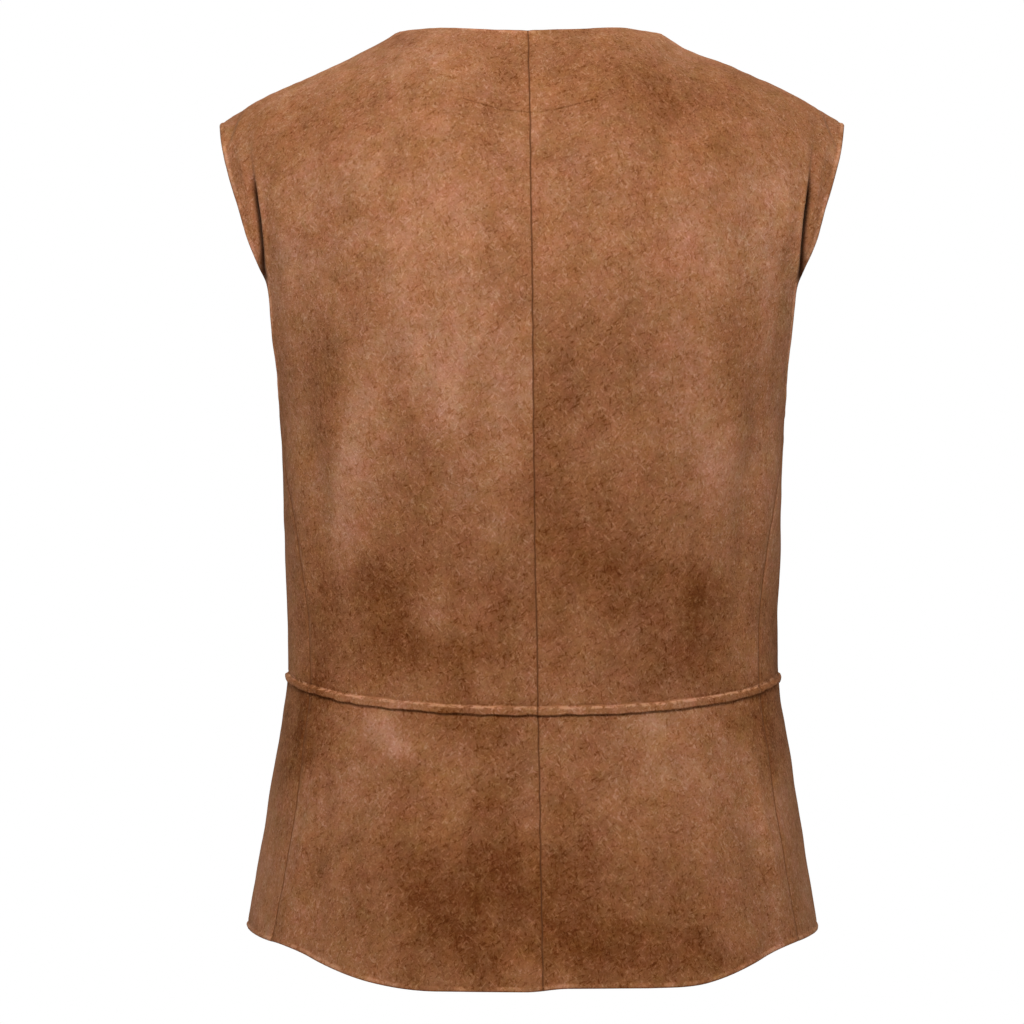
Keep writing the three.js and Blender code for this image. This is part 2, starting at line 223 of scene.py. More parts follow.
def read(rows, column, at):
    """A column of a table at any place along its first column, on a smooth curve."""
    key, values, at = rows[next(iter(rows))], rows[column], np.asarray(at, float)
    if key[0] > key[-1]:
        key, at = -key, -at
    at = np.clip(at, key[0], key[-1])
    last = len(key) - 1
    place = np.arange(last + 1)
    before, after = np.maximum(place - 1, 0), np.minimum(place + 1, last)
    slopes = (values[after] - values[before]) / (key[after] - key[before])
    i = np.clip(np.searchsorted(key, at, side="right") - 1, 0, last - 1)
    span = key[i + 1] - key[i]
    s = (at - key[i]) / span
    start = values[i] * (1 + 2 * s) * (1 - s) ** 2 + slopes[i] * span * s * (1 - s) ** 2
    return start + values[i + 1] * s * s * (3 - 2 * s) - slopes[i + 1] * span * s * s * (1 - s)


def ellipse(angle, half_width, depth, square):
    """Places on a level superellipse: angle runs from its centre (0) to its widest point (90)."""
    across = signed_power(np.sin(np.radians(angle)), 2 / square)
    along = signed_power(np.cos(np.radians(angle)), 2 / square)
    return half_width * across, depth * along


def body_point(angle, z):
    depth = np.where(angle < 90, read(SECTIONS, "back", z), read(SECTIONS, "front", z))
    x, y = ellipse(angle, read(SECTIONS, "half_width", z), depth, read(SECTIONS, "square", z))
    return np.stack([x, y, z], -1)


def column_angle(face, across, edge_angle):
    upright = UPRIGHT_ANGLE[face]
    return upright * across + (edge_angle - upright) * across**2.5


def panel_angle(face, across, z):
    side = read(SIDE_SEAM, "angle", z)
    if face == "back":
        return column_angle(face, across, side)
    return 180 - column_angle(face, across, 180 - side)


def waist_z(angle):
    along = np.cos(np.radians(angle))
    dip = np.where(along > 0, WAIST_BACK_DIP, WAIST_FRONT_DIP)
    return WAIST_SIDE - dip * np.abs(along) ** WAIST_POWER


def hem_z(angle):
    return HEM_CENTRE + HEM_RISE * smooth(HEM_FROM, HEM_TO, np.minimum(angle, 180 - angle))


def yoke_top(face, across):
    share = np.minimum(across / NECK_ACROSS, 1)
    along = np.clip((across - NECK_ACROSS) / (1 - NECK_ACROSS), 0, 1)
    centre = BACK_NECK_Y if face == "back" else FRONT_NECK_Y
    neck_z = lerp(BACK_NECK_Z, 0, smooth(0, 1, share)) if face == "back" else 0 * share
    in_neck = across < NECK_ACROSS
    x = np.where(in_neck, NECK_HALF * share, lerp(NECK_HALF, SHOULDER_X, along))
    y = np.where(in_neck, lerp(centre, SHOULDER_Y, share**2.2), SHOULDER_Y)
    z = np.where(in_neck, neck_z, -read(SHOULDER_LINE, "drop", along))
    return x, y, z


def yoke_section(face, rise):
    edge_x, edge_y = read(YOKE[face], "edge_x", rise), read(YOKE[face], "edge_y", rise)
    depth = read(YOKE[face], "centre_y", rise)
    edge_angle = np.degrees(np.arccos(signed_power(edge_y / depth, YOKE_SQUARE / 2)))
    return edge_angle, edge_x / np.sin(np.radians(edge_angle)) ** (2 / YOKE_SQUARE), depth


def yoke_point(face, across, rise):
    edge_angle, half_width, depth = yoke_section(face, rise)
    x, y = ellipse(column_angle(face, across, edge_angle), half_width, depth, YOKE_SQUARE)
    top_x, top_y, top_z = yoke_top(face, across)
    over_shoulder = smooth(0, NECK_ACROSS, across)
    bend = lerp(BEND_CENTRE, BEND_SHOULDER, over_shoulder)
    round_off = lerp(ROUND_CENTRE, ROUND_SHOULDER, over_shoulder)
    upright = np.maximum(1 - rise**bend, 0) ** (1 / round_off)
    top_angle, top_width, _ = yoke_section(face, np.ones_like(rise))
    plain_x, _ = ellipse(column_angle(face, across, top_angle), top_width, 1, YOKE_SQUARE)
    x = x + (top_x - plain_x) * rise**3
    return np.stack([x, lerp(top_y, y, upright), lerp(UNDERARM_Z, top_z, rise)], -1)


def front_reach(across):
    z = V_NECK_Z * (1 - np.minimum(across / NECK_ACROSS, 1) ** 1.12)
    return (z - UNDERARM_Z) / -UNDERARM_Z


def skirt_surface(face, across, up):
    angle = panel_angle(face, across, WAIST_SIDE)
    foot = hem_z(panel_angle(face, across, HEM_CENTRE))
    z = lerp(foot, waist_z(angle) + LAP_TUCK, up)
    return body_point(panel_angle(face, across, z), z)


def body_surface(face, across, up):
    z = lerp(waist_z(panel_angle(face, across, WAIST_SIDE)), UNDERARM_Z, up)
    return body_point(panel_angle(face, across, z), z)


def yoke_surface(face, across, up):
    return yoke_point(face, across, up * front_reach(across) if face == "front" else up)


# ---- Spacing of the grid ----
GRID_STEP = 2.8
EDGE_STEPS = [0, 0.1, 0.35, 0.8, 1.4, 2.1, 3.0, 4.0, 5.2]


def stations(length, step, starts, ends, fine=()):
    """Distances from 0 to length: closer at the ends that are edges, and in the fine stretches."""
    places = list(EDGE_STEPS) if starts else [0]
    while places[-1] < length:
        here = min([step] + [s for low, high, s in fine if low <= places[-1] <= high])
        places.append(places[-1] + here)
    first_end = length - EDGE_STEPS[-1] if ends else length
    places = [d for d in places if d < first_end - 0.4 * step]
    return np.array(places + ([length - d for d in reversed(EDGE_STEPS)] if ends else [length]))


def by_length(points, distances):
    """The shares along a finely drawn line at which these distances along it fall."""
    run = np.concatenate([[0], np.cumsum(np.linalg.norm(np.diff(points, axis=0), axis=1))])
    return np.interp(distances * run[-1] / distances[-1], run, np.linspace(0, 1, len(run)))


def line_length(points):
    return float(np.linalg.norm(np.diff(points, axis=0), axis=1).sum())


SHARES = np.linspace(0, 1, 1500)
LAP_STEPS = np.array(
    [0, 0.1, 0.35, 0.8, 1.6, 3.0, 4.4, 5.2, 5.7, 6.1, 6.5, 7.0, 7.6, 8.4, 9.6, 11.5]
)


def columns_of(face, part):
    """Shares of the width for a panel's columns, closer where the armhole's creases run."""
    low, step = {"back": (0.84, 0.95), "front": (0.83, 1.8)}[face]
    fine = [(low * PANEL_WIDTH, PANEL_WIDTH, step)] if part == "bodice" else []
    return stations(PANEL_WIDTH, GRID_STEP, True, True, fine) / PANEL_WIDTH


def rows_of(face, part):
    """The rows of a panel's grid, as (surface, up)."""
    middle = np.full_like(SHARES, 0.55)
    if part == "skirt":
        line = skirt_surface(face, middle, SHARES)
        ups = by_length(line, stations(line_length(line), GRID_STEP, True, False))
        return [(skirt_surface, up) for up in ups]
    line = body_surface(face, middle, SHARES)
    length = line_length(line)
    plain = stations(length - LAP_STEPS[-1], GRID_STEP, False, False) + LAP_STEPS[-1]
    ups = by_length(line, np.concatenate([LAP_STEPS, plain[1:]]))
    rows = [(body_surface, up) for up in ups]
    line = yoke_surface(face, middle, SHARES)
    length = line_length(line)
    fine = [(0.22 * length, 0.8 * length, 1.5 if face == "back" else 2.2)]
    ups = by_length(line, stations(length, 0.9 * GRID_STEP, False, True, fine))
    return rows + [(yoke_surface, up) for up in ups[1:]]


# ---- Folds, creases and unevenness, all in millimetres along the surface's normal ----
def line_place(fold, i, across, z):
    """How far along a fold each point lies (0 to 1), and how far it lies beside it."""
    run_x = (fold["to_across"][i] - fold["across"][i]) * PANEL_WIDTH
    run_z = fold["to_z"][i] - fold["z"][i]
    here_x, here_z = (across - fold["across"][i]) * PANEL_WIDTH, z - fold["z"][i]
    length = math.hypot(run_x, run_z)
    along = (here_x * run_x + here_z * run_z) / length**2
    swell = np.sin(np.pi * np.clip(along, 0, 1))
    return along, swell, (here_z * run_x - here_x * run_z) / length + fold["bow"][i] * swell


def folds_out(face, across, z):
    out = np.zeros_like(z)
    fold = FOLDS[face]
    for i in range(len(fold["z"])):
        along, swell, aside = line_place(fold, i, across, z)
        out += fold["out"][i] * swell * bump(aside, 0, fold["wide"][i])
    return out * smooth(0, 0.05, across) * smooth(0, 0.05, 1 - across)


def crease_drop(face, across, z):
    """How far the cloth stands back beside the creases, and how much painted shadow each point gets
    from lying deep in them.
    """
    drop, slit_shadow = np.zeros_like(z), np.zeros_like(z)
    for crease, (steep, near, far) in zip(CREASES[face], CREASE_WIDTHS[face]):
        steep = steep + FOOT_SPREAD * smooth(SPREAD_FROM, SPREAD_TO, z)
        aside = (across - read(crease, "across", z)) * PANEL_WIDTH
        deep = read(crease, "deep", z)
        beyond = np.maximum(aside - steep, 0)
        fall = lerp(np.exp(-beyond / far), np.exp(-beyond / near), CREASE_NEAR_SHARE)
        lift = CREASE_LIFT * bump(aside, LIFT_ASIDE, LIFT_WIDE)
        drop += deep * (smooth(-steep, steep, aside) * fall - lift)
        foot = smooth(FOOT_FROM, FOOT_TO, z)
        # How hidden and deep a point lies beside the crease's step sets its painted shadow.
        hidden = smooth(-steep, 0.5 * steep, aside)
        hidden = hidden * bump(beyond, 0, near * (SLIT_WIDE + FOOT_WIDER * foot))
        dark = np.clip((deep - SLIT_FROM_DEEP) / SLIT_FULL_AFTER + FOOT_DARKER * foot, 0, 1)
        dark = dark * np.clip(deep, 0, 1)
        slit_shadow = np.maximum(slit_shadow, hidden * dark)
    return drop, slit_shadow


def waver(p, seed, size):
    """Smooth unevenness between -1 and 1, about one wave to each size in millimetres."""
    rng = np.random.default_rng(seed)
    total = np.zeros(p.shape[:-1])
    for _ in range(7):
        direction = rng.normal(size=3)
        direction *= rng.uniform(0.7, 1.4) * 2 * np.pi / size / np.linalg.norm(direction)
        total += np.sin(p @ direction + rng.uniform(0, 2 * np.pi))
    return total / 4


def rounded(distance, radius):
    """How far a cut edge has rounded down at a distance from it."""
    inside = np.clip(1 - distance / radius, 0, 1)
    return radius * (1 - np.sqrt(1 - inside**2))


# ---- Brushed nap tone with painted shade and light, given one by one: soft ovals, darker (tone < 0) or lighter ----
SHADE_AND_NAP_PATCHES = {
    "back": table(
        "x z wide tall tone",
        (2, -425, 145, 68, -0.36),
        (-40, -366, 32, 30, -0.12),
        (85, -456, 62, 24, -0.20),
        (-30, -450, 46, 28, 0.20),
        (23, -630, 110, 58, -0.75),
        (62, -575, 50, 35, -0.25),
        (-55, -664, 75, 30, -0.60),
        (44, -513, 36, 20, -0.25),
        (120, -520, 60, 22, -0.12),
        (44, -260, 30, 50, 0.10),
        (-111, -60, 70, 32, -0.30),
        (-150, -88, 50, 30, -0.22),
        (-30, -32, 60, 30, -0.36),
        (175, -78, 42, 28, -0.36),
        (150, -165, 42, 60, 0.24),
        (168, -150, 24, 80, 0.20),
        (-163, -155, 24, 85, 0.20),
        (-166, -350, 20, 70, 0.13),
        (-172, -627, 30, 30, 0.20),
        (75, -18, 32, 16, 0.25),
        (-85, -18, 30, 14, 0.15),
        (75, -500, 50, 12, -0.42),
        (-145, -500, 36, 14, -0.45),
        (150, -430, 42, 36, -0.22),
        (87, -452, 22, 14, -0.25),
        (-38, -660, 38, 15, -0.75),
        (2, -660, 22, 15, -0.60),
        (87, -627, 25, 20, -0.28),
        (0, -627, 22, 20, -0.42),
        (-70, -545, 45, 30, -0.17),
        (44, -452, 20, 14, -0.35),
        (90, -415, 50, 25, -0.12),
    ),
    "front": table(
        "x z wide tall tone",
        (60, -420, 80, 60, -0.28),
        (-90, -440, 85, 50, -0.24),
        (165, -440, 40, 45, -0.20),
        (-165, -430, 40, 50, -0.20),
        (80, -300, 45, 60, 0.15),
        (-75, -250, 40, 55, 0.12),
        (165, -90, 40, 30, -0.18),
        (-170, -80, 38, 30, -0.20),
        (50, -630, 75, 50, -0.36),
        (-55, -640, 90, 45, -0.32),
        (95, -515, 40, 22, 0.20),
        (-40, -515, 35, 22, -0.16),
        (-172, -505, 26, 34, -0.28),
        (172, -505, 26, 34, -0.28),
    ),
}


# Painted shade (tone < 0) and painted highlight (tone > 0) as long soft strokes along the folds,
# from one place to another, in the same way as the patches.
PAINTED_FOLD_STROKES = {
    "back": table(
        "x z to_x to_z wide tone",
        (112, -233, 140, -379, 13, 0.30),
        (87, -202, 61, -277, 17, 0.25),
        (143, -238, 145, -295, 15, -0.35),
        (-146, -215, -148, -277, 17, -0.35),
        (-98, -233, -129, -321, 13, 0.25),
        (-129, -321, -142, -388, 12, 0.12),
        (109, -398, 112, -463, 13, -0.42),
        (57, -454, 55, -476, 14, -0.35),
        (-111, -398, -114, -458, 14, -0.42),
        (-9, -330, -41, -398, 20, -0.28),
        (80, -420, 40, -462, 11, 0.18),
        (108, -502, 100, -518, 13, 0.80),
        (-62, -506, -111, -497, 16, 0.42),
        (-70, -540, -100, -535, 16, 0.22),
        (61, -499, 44, -511, 10, -0.30),
        (164, -486, 169, -530, 14, -0.75),
        (-164, -486, -172, -532, 14, -0.70),
        (133, -546, 175, -592, 15, 0.22),
        (-118, -550, -160, -592, 13, 0.18),
        (165, -596, 166, -617, 9, -0.30),
        (25, -640, 10, -676, 12, -0.25),
        (8, -672, -12, -680, 8, 0.40),
    ),
    "front": table(
        "x z to_x to_z wide tone",
        (105, -240, 132, -370, 14, 0.26),
        (-100, -235, -136, -385, 14, 0.26),
        (148, -235, 150, -300, 15, -0.30),
        (-147, -230, -149, -290, 15, -0.30),
        (75, -400, 85, -460, 15, -0.38),
        (-88, -395, -95, -460, 15, -0.38),
        (30, -330, 45, -400, 17, -0.22),
        (-45, -300, -30, -380, 15, 0.18),
        (60, -505, 105, -498, 14, 0.38),
        (-70, -508, -40, -515, 13, 0.30),
        (165, -486, 170, -532, 12, -0.40),
        (-165, -486, -171, -532, 12, -0.40),
        (115, -545, 160, -592, 14, 0.20),
        (-110, -548, -150, -595, 14, 0.20),
        (40, -610, 55, -655, 16, -0.35),
        (-45, -600, -60, -650, 16, -0.35),
    ),
}


DARKEST = 1.15
RAGGED, RAGGED_SIZE = 0.35, 60
SEAM_TONE = 0.15  # the left back is lighter along the centre seam, and the right back darker


# The nap's tone with painted shade and light: patches, strokes, and the centre back's seam.
def nap_and_painted_shade_tone(face, points):
    total = np.zeros(points.shape[:-1])
    patch = SHADE_AND_NAP_PATCHES[face]
    ragged = 1 + RAGGED * waver(points, 41, RAGGED_SIZE)
    for i in range(len(patch["z"])):
        aside = (points[..., 0] - patch["x"][i]) / patch["wide"][i]
        above = (points[..., 2] - patch["z"][i]) / patch["tall"][i]
        total += patch["tone"][i] * np.exp(-(aside**2 + above**2) * ragged)
    if face == "back":
        x, z = points[..., 0], points[..., 2]
        total += SEAM_TONE * np.sign(x) * bump(x, 0, 60) * bump(z, -310, 115)
    stroke = PAINTED_FOLD_STROKES[face]
    for i in range(len(stroke["z"])):
        start = np.array([stroke["x"][i], stroke["z"][i]])
        run = np.array([stroke["to_x"][i], stroke["to_z"][i]]) - start
        here = points[..., [0, 2]] - start
        along = np.clip(here @ run / (run @ run), 0, 1)
        gap = np.linalg.norm(here - along[..., None] * run, axis=-1) / stroke["wide"][i]
        total += stroke["tone"][i] * np.exp(-(gap**2) * ragged)
    return np.where(total < 0, DARKEST * np.tanh(total / DARKEST), total)


UNDERARM_FULLER, HIP_FULLER = 2.3, 1.3
NECK_CORNER_DROP, RIGHT_HEM_LIFT, SIDE_HEM_LIFT, HEM_DIP = 2.6, 2.4, 3.2, 1.4


def fill_out(points):
    """Outward (x): the cloth stands out a little more under the arms and over the hips."""
    x, z = points[..., 0], points[..., 2]
    more = UNDERARM_FULLER * bump(z, -214, 27) + HIP_FULLER * bump(z, -548, 60)
    return more * np.sign(x) * smooth(110, 185, np.abs(x))


def settle(points):
    """Small lifts (+z) in the hang: the hem at its sides, and the right neck corner and hem."""
    x, y, z = points[..., 0], points[..., 1], points[..., 2]
    neck = -NECK_CORNER_DROP * bump(x, -112, 22) * smooth(-60, -10, z)
    right = RIGHT_HEM_LIFT * smooth(5, -25, x) * smooth(-125, -85, x) * smooth(-20, 40, y)
    sides = SIDE_HEM_LIFT * smooth(186, 212, np.abs(x)) - HEM_DIP * bump(np.abs(x), 130, 45)
    return neck + smooth(-590, -650, z) * (right + sides)


# ---- Panels ----
def edge_distances(points):
    """Each grid point's distance to the panel's four edges, along its row or column."""
    def run(axis):
        steps = np.linalg.norm(np.diff(points, axis=axis), axis=-1)
        zero = np.zeros_like(np.take(steps, [0], axis))
        return np.concatenate([zero, np.cumsum(steps, axis)], axis)

    column_run, row_run = run(1), run(0)
    return {
        "centre": column_run,
        "side": column_run[:, -1:] - column_run,
        "foot": row_run,
        "top": row_run[-1:] - row_run,
    }


def panel_normals(face, points):
    along = np.gradient(points, axis=1)
    rising = np.gradient(points, axis=0)
    normals = np.cross(along, rising)
    normals *= -1 if face == "back" else 1
    normals[:, 0, 0] = 0
    return normals / np.linalg.norm(normals, axis=-1, keepdims=True)


SEAM_WAVER, SEAM_WAVER_SIZE = 0.4, 17


def sway(points):
    """The hang of the centre back seam, and its slight waver."""
    behind = smooth(-60, 60, points[..., 1])
    middle = np.maximum(0, 1 - (points[..., 0] / SHOULDER_X) ** 2)
    level = points[..., 2:] * np.array([0, 0, 1.0])
    uneven = SEAM_WAVER * waver(level, 5, SEAM_WAVER_SIZE) * bump(points[..., 0], 0, 7)
    return (read(SWAY, "x", points[..., 2]) * middle + uneven) * behind


BAND_BELLY, BAND_CORD, BAND_GROOVE = 0.25, 0.4, 0.35


def lap_out(distance, points):
    """The bodice's foot: a folded band that stands over the skirt and is stitched along its top."""
    aside = np.abs(points[..., 0])
    height = LAP_HEIGHT * (1 - 0.4 * smooth(110, 178, aside))
    height = height + 0.75 * waver(points, 31, 16) + 0.35 * waver(points, 32, 6)
    plump = (1 + 0.45 * waver(points, 33, 9)) * (1 - 0.7 * smooth(140, 185, aside))
    band = LAP_OUT * (1 - smooth(height - 0.8, height + 0.6, distance))
    belly = BAND_BELLY * plump * bump(distance, 0.5 * height, 0.4 * height)
    cord = BAND_CORD * plump * bump(distance, height - 0.8, 0.8)
    groove = -BAND_GROOVE * bump(distance, height + 1.1, 0.8)
    return band + belly + cord + groove


EDGE_ROLL, ROLL_AT, ROLL_WIDE = 0.5, 1.8, 1.3
EDGE_SEWING, SEWING_AT, SEWING_WIDE = 0.3, 4.2, 0.9


def turned_roll(distance, points, seed):
    """A turned edge: a soft roll, and the shallow line of the sewing behind it."""
    uneven = 1 + 0.4 * waver(points, seed, 14)
    roll = EDGE_ROLL * uneven * bump(distance, ROLL_AT, ROLL_WIDE)
    return roll - EDGE_SEWING * uneven * bump(distance, SEWING_AT, SEWING_WIDE)


PUCKER, SEAM_DIP = 0.25, 0.45


def seam_pucker(distance, points, seed):
    ripple = waver(points, seed, 13) * bump(distance, 3.5, 4.5)
    return PUCKER * ripple - SEAM_DIP * bump(distance, 0.0, 2.2)


FACING_Z, FACING_RISE, FACING_HALF, FACING_END = -68.5, 9.5, 47, 50
OFF_ITS_ENDS = 200  # puts what lies beyond the line's ends far below it


def facing_line(points):
    """How far each point lies above the stitched lower edge of the back neck's facing."""
    x, z = points[..., 0], points[..., 2]
    edge = FACING_Z + FACING_RISE * np.minimum((np.abs(x) / FACING_HALF) ** 1.6, 3)
    return z - edge - OFF_ITS_ENDS * smooth(FACING_END, FACING_END + 2, np.abs(x))


NOT_NEAR = 99.0  # the distance to a line that a panel hasn't got
UNEVEN = ((0.7, 1, 95), (0.3, 2, 34), (0.12, 3, 13))  # (height, seed, size) of each set of waves
EXTRA_LAYER, SEAM_ALLOWANCE, TURNING = 0.7, 9.5, 11.5


def sewing_lines(face, part, near, across, in_yoke):
    """Distances to the nearest seam and turned edge, and the height on the waist's band."""
    far = np.full_like(across, NOT_NEAR)
    seam = np.where(in_yoke, far, near["side"])
    turned = np.where(in_yoke, near["side"], far)
    if face == "back":
        seam = np.minimum(seam, near["centre"])
    else:
        turned = np.minimum(turned, near["centre"])
    if part == "skirt":
        return seam, np.minimum(turned, near["foot"]), LAP_TUCK - near["top"]
    at_shoulder = across >= NECK_ACROSS
    seam = np.minimum(seam, np.where(at_shoulder, near["top"], far))
    turned = np.minimum(turned, np.where(at_shoulder, far, near["top"]))
    return seam, turned, np.minimum(near["foot"], NOT_NEAR)


def panel(face, part, mirror):
    """A panel's outer and inner points, and the measures that its material reads."""
    columns, rows = columns_of(face, part), rows_of(face, part)
    surfaces = [surface(face, columns, np.full_like(columns, up)) for surface, up in rows]
    points = np.stack(surfaces)
    normals = panel_normals(face, points)
    across = np.broadcast_to(columns, points.shape[:2])
    z = points[..., 2]
    placed = points * np.array([mirror, 1, 1])
    near = edge_distances(points)
    bodice, back = part == "bodice", face == "back"
    in_yoke = np.array([surface is yoke_surface for surface, _ in rows])[:, None]
    seam, turned, band = sewing_lines(face, part, near, across, in_yoke)

    sewn = seam_pucker(seam, placed, 11) + turned_roll(turned, placed, 21)
    past_underarm = smooth(1, 18, np.abs(z - UNDERARM_Z))
    out = folds_out(face, across, z) + sewn * np.where(across > 0.5, past_underarm, 1)
    for height, seed, size in UNEVEN:
        out += height * waver(placed, seed, size)
    hang = np.zeros_like(z)
    if bodice:
        normals[-1, columns >= NECK_ACROSS, 1] = 0
        normals[-1] /= np.linalg.norm(normals[-1], axis=-1, keepdims=True)
        out += lap_out(near["foot"], placed)
        z += 0.6 * waver(placed, 35, 12) * smooth(5, 0, near["foot"])
        hang = smooth(0, 8, near["top"])
    drop, slit_shadow = crease_drop(face, across, z)
    set_back = np.stack([0 * z, drop * hang * (-1 if back else 1), 0 * z], -1)

    facing = facing_line(points) if back and bodice else np.full_like(z, -NOT_NEAR)
    allowance = smooth(SEAM_ALLOWANCE, SEAM_ALLOWANCE - 1.5, seam) * smooth(0, 1.2, seam)
    turning = smooth(TURNING, TURNING - 1.5, turned)
    layers = np.maximum.reduce([allowance, turning, smooth(-0.8, 0.8, facing)])

    edge = np.minimum.reduce([near["centre"], near["side"], near["foot"], near["top"]])
    dip = rounded(edge, np.where(seam < NOT_NEAR, SEWN_ROUND, CLOTH / 2))
    thick = CLOTH + EXTRA_LAYER * layers * smooth(0, 2, edge)
    outer = points + set_back + normals * (out - dip)[..., None]
    inner = points + set_back + normals * (out + dip - thick)[..., None]
    if back:
        outer[:, 0, 0] = 0
    else:
        hem_share = smooth(-WAIST_SIDE, -HEM_CENTRE, -z[:, :1])
        opening = lerp(OPEN_AT_WAIST, OPEN_AT_HEM, hem_share)
        for layer in (outer, inner):
            layer[..., 0] += opening * np.maximum(0, 1 - near["centre"] / 60)
    # The nap's tone with painted shade and light, and the painted shadow deep in the creases.
    tone = nap_and_painted_shade_tone(face, placed)
    return outer, inner, np.stack([seam, turned, band, facing, tone, slit_shadow * hang], -1)


# Where on the hide each piece is cut from, in metres: its texture doesn't run on over a seam.
CUT_FROM = {
    ("back", "bodice", "left"): (0.00, 0.0, 0.0),
    ("back", "bodice", "right"): (1.31, 0.2, 0.4),
    ("back", "skirt", "left"): (2.47, 0.6, 0.1),
    ("back", "skirt", "right"): (3.83, 0.3, 0.7),
    ("front", "bodice", "left"): (5.12, 0.9, 0.5),
    ("front", "bodice", "right"): (6.59, 0.1, 0.3),
    ("front", "skirt", "left"): (7.74, 0.8, 0.9),
    ("front", "skirt", "right"): (9.26, 0.5, 0.2),
}


def make_mesh(name, face, part, side):
    mirror = 1 if side == "left" else -1
    outer, inner, measures = panel(face, part, mirror)
    rows, columns = outer.shape[:2]
    verts = np.concatenate([outer.reshape(-1, 3), inner[1:-1, 1:-1].reshape(-1, 3)])
    verts[:, 0] = mirror * verts[:, 0] + sway(verts)
    verts[:, 0] += fill_out(verts)
    verts[:, 2] += settle(verts)
    kinds = measures.shape[-1]
    inside_edges = measures[1:-1, 1:-1]
    measures = np.concatenate([measures.reshape(-1, kinds), inside_edges.reshape(-1, kinds)])

    first = np.arange(rows * columns).reshape(rows, columns)
    second = first.copy()
    more = np.arange((rows - 2) * (columns - 2)).reshape(rows - 2, -1)
    second[1:-1, 1:-1] = rows * columns + more
    quads = []
    for index, flip in ((first, False), (second, True)):
        corners = [index[:-1, :-1], index[:-1, 1:], index[1:, 1:], index[1:, :-1]]
        quads.append(np.stack(corners[::-1] if flip else corners, -1).reshape(-1, 4))
    faces = np.concatenate(quads)
    if (face == "back") == (mirror > 0):
        faces = faces[:, ::-1]

    mesh = bpy.data.meshes.new(name)
    mesh.from_pydata((verts * MM).tolist(), [], faces.tolist())
    mesh.polygons.foreach_set("use_smooth", np.ones(len(faces), bool))
    mesh.polygons.foreach_set("material_index", np.repeat([0, 1], len(faces) // 2))
    attributes = {
        "lines": measures[:, :3],
        "marks": measures[:, 3:],
        "cut_from": verts * MM + CUT_FROM[face, part, side],
    }
    for attribute, values in attributes.items():
        layer = mesh.attributes.new(attribute, "FLOAT_VECTOR", "POINT")
        layer.data.foreach_set("vector", values.ravel())
    mesh.update()
    obj = bpy.data.objects.new(name, mesh)
    bpy.context.scene.collection.objects.link(obj)
    return obj


# ---- Materials ----
FIBRE_STRETCH, FIBRE_SPAN = 3.2, (0.57, 0.74)


class Nodes:
    """A short way to build a material's node tree."""

    def __init__(self, name):
        self.material = bpy.data.materials.new(name)
        self.material.use_nodes = True
        self.tree = self.material.node_tree
        self.tree.nodes.clear()
        self.coords = self.add("ShaderNodeAttribute", attribute_name="cut_from").outputs["Vector"]

    def add(self, kind, **settings):
        node = self.tree.nodes.new(kind)
        for name, value in settings.items():
            setattr(node, name, value)
        return node

    def put(self, socket, value):
        if isinstance(value, bpy.types.NodeSocket):
            self.tree.links.new(value, socket)
        else:
            socket.default_value = value

    def field(self, mapping, scale, detail, rough, distortion):
        self.put(mapping.inputs["Vector"], self.coords)
        node = self.add("ShaderNodeTexNoise")
        self.put(node.inputs["Vector"], mapping.outputs["Vector"])
        self.put(node.inputs["Scale"], scale)
        self.put(node.inputs["Detail"], detail)
        self.put(node.inputs["Roughness"], rough)
        self.put(node.inputs["Distortion"], distortion)
        return node.outputs["Fac"]

    def noise(self, scale, detail, rough, distortion, stretch=(1, 1, 1), shift=0.0):
        """A noise field around 0, mostly between -1 and 1."""
        mapping = self.add("ShaderNodeMapping")
        mapping.inputs["Scale"].default_value = stretch
        mapping.inputs["Location"].default_value = (shift, 0.7 * shift, -1.3 * shift)
        field = self.field(mapping, scale, detail, rough, distortion)
        return self.math("MULTIPLY_ADD", field, 4.0, -2.0)

    def fibres(self, scale, shift, angle):
        """Brushed fibres: short strokes about one direction, angle degrees from the upright."""
        mapping = self.add("ShaderNodeMapping", vector_type="TEXTURE")
        mapping.inputs["Location"].default_value = (0, 0, 0.01 * shift)
        mapping.inputs["Rotation"].default_value = (0, math.radians(angle), 0)
        mapping.inputs["Scale"].default_value = (1, 1, FIBRE_STRETCH)
        return self.span(self.field(mapping, scale, 1.0, 0.6, 0.8), *FIBRE_SPAN)

    def total(self, *parts):
        """The sum of (field, weight) pairs."""
        value = 0.0
        for field, weight in parts:
            value = self.math("MULTIPLY_ADD", field, weight, value)
        return value

    def attribute(self, name):
        split = self.add("ShaderNodeSeparateXYZ")
        values = self.add("ShaderNodeAttribute", attribute_name=name).outputs["Vector"]
        self.put(split.inputs[0], values)
        return [split.outputs[axis] for axis in "XYZ"]

    def math(self, operation, a, b=0.0, c=0.0):
        node = self.add("ShaderNodeMath", operation=operation)
        for socket, value in zip(node.inputs, (a, b, c)):
            self.put(socket, value)
        return node.outputs["Value"]

    def span(self, value, low, high, to_low=0.0, to_high=1.0, kind="SMOOTHSTEP"):
        node = self.add("ShaderNodeMapRange", interpolation_type=kind)
        for name, number in (("Value", value), ("From Min", low), ("From Max", high)):
            self.put(node.inputs[name], number)
        node.inputs["To Min"].default_value = to_low
        node.inputs["To Max"].default_value = to_high
        return node.outputs["Result"]

    def mix(self, share, a, b, blend="MIX"):
        node = self.add("ShaderNodeMix", data_type="RGBA", blend_type=blend)
        node.clamp_factor = True
        self.put(node.inputs["Factor"], share)
        self.put(node.inputs["A"], a)
        self.put(node.inputs["B"], b)
        return node.outputs["Result"]


THREAD_SHADE = (0.150, 0.050, 0.016)
# The colour of the painted shadow deep in the armhole's creases.
PAINTED_SLIT_SHADOW = (0.030, 0.006, 0.001)
TONE_STOPS = (-1.6, -1.0, 0.0, 1.0)  # the tones that have the deep, dark, base and light shades


